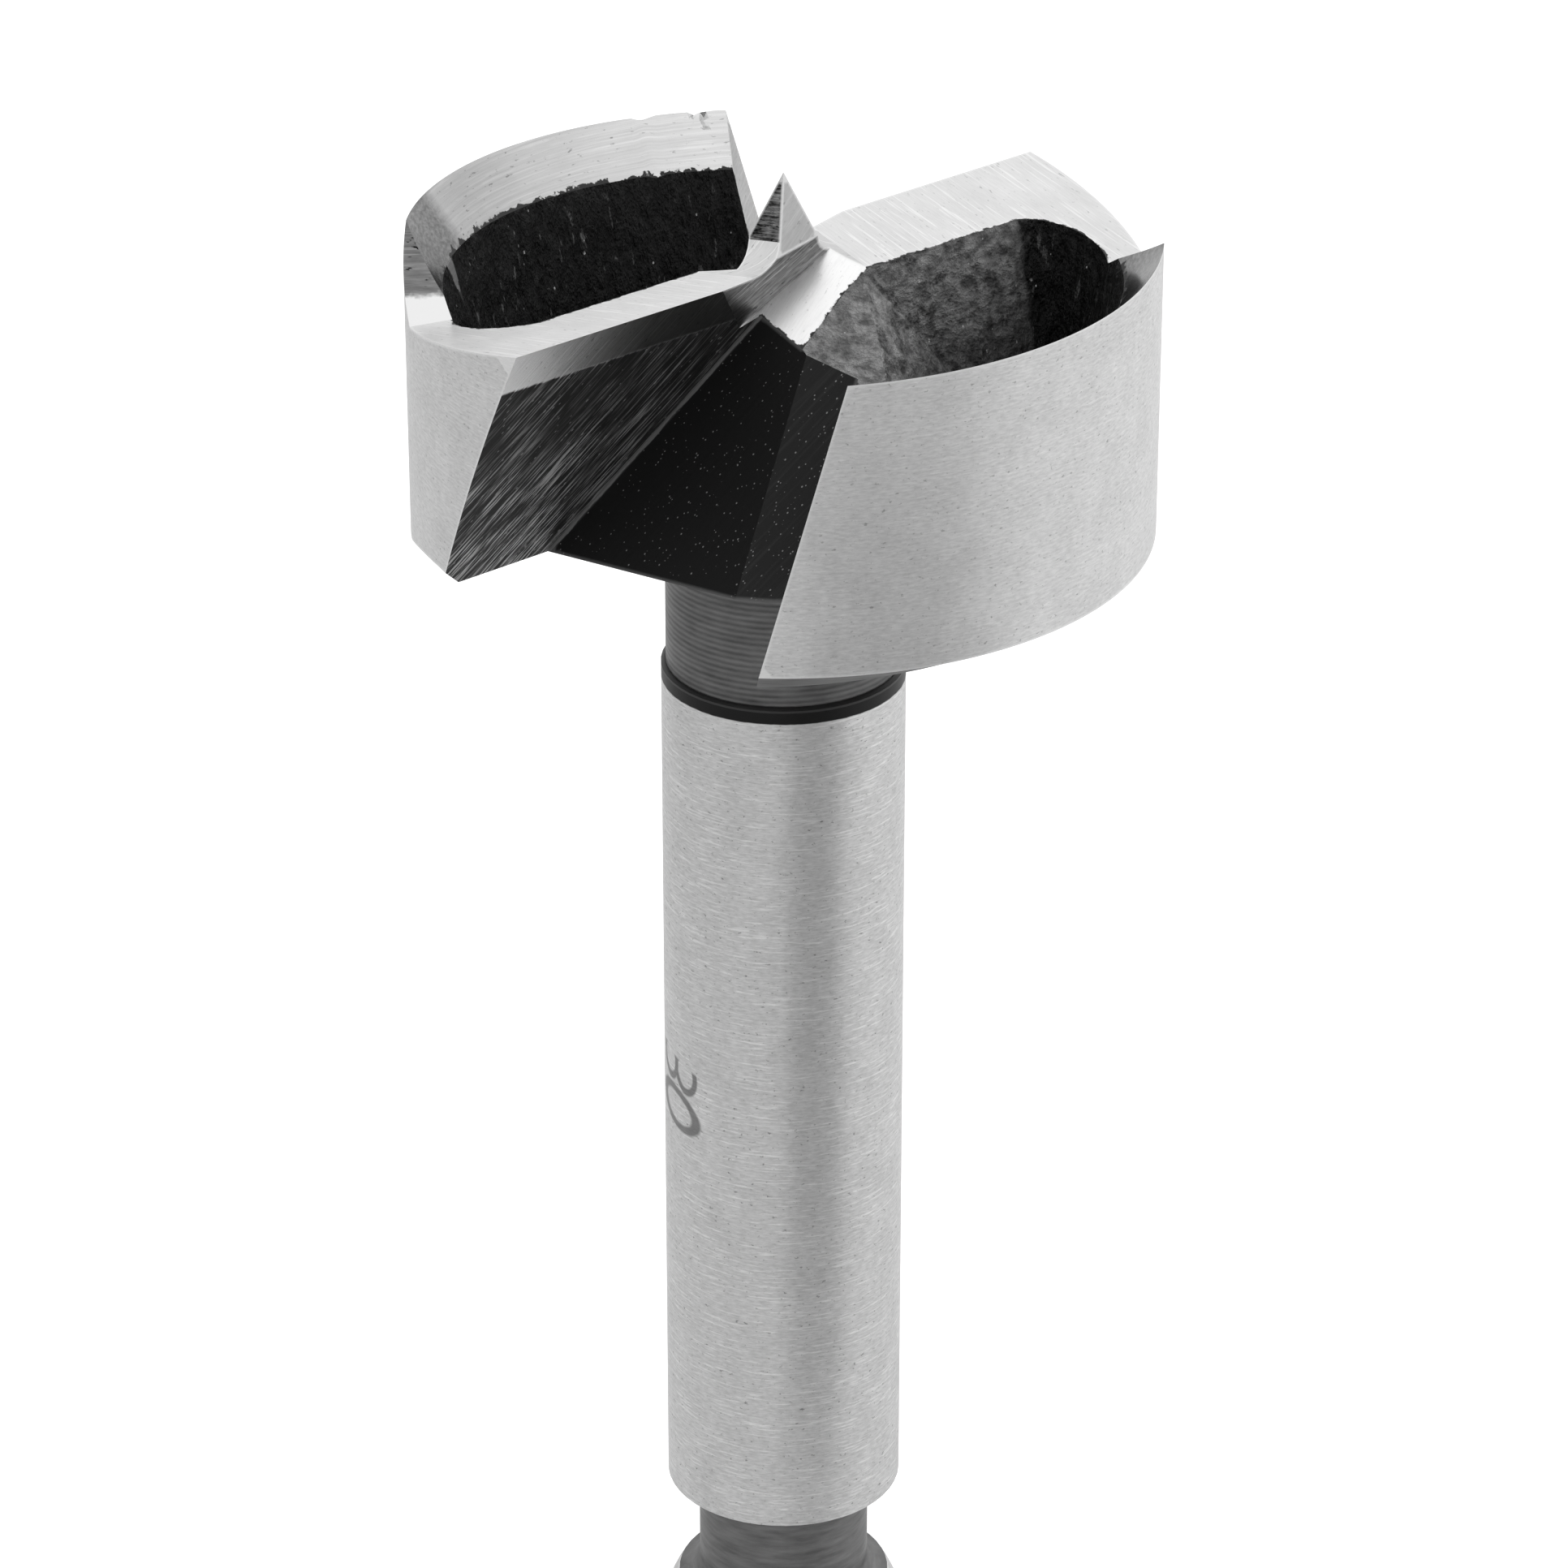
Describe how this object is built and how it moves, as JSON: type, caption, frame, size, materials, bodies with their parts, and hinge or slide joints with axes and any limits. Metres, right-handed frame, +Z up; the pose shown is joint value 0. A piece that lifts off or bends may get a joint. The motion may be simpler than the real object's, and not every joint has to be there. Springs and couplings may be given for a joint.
{
  "type": "forstner bit",
  "caption": "Round-shank forstner bit: a cutter head with hooked lips, chip gullets, a knife rim and a pyramid centre point on a turned shank.",
  "frame": {"origin": "centre of the flat end of the shank, which the tool stands on", "axes": "+Z up along the tool's axis towards the centre point; +X to the right and -Y towards the viewer in the pictured view; the lips lie along the horizontal line turned 41 degrees from +X"},
  "size_m": [0.03, 0.03, 0.09],
  "materials": {
    "tool_steel": "ground on the shank, the lips and the rim, black oxide in the gullets and pockets"
  },
  "bodies": {
    "root": {"forstner_bit": "tool_steel"}
  },
  "joints": []
}
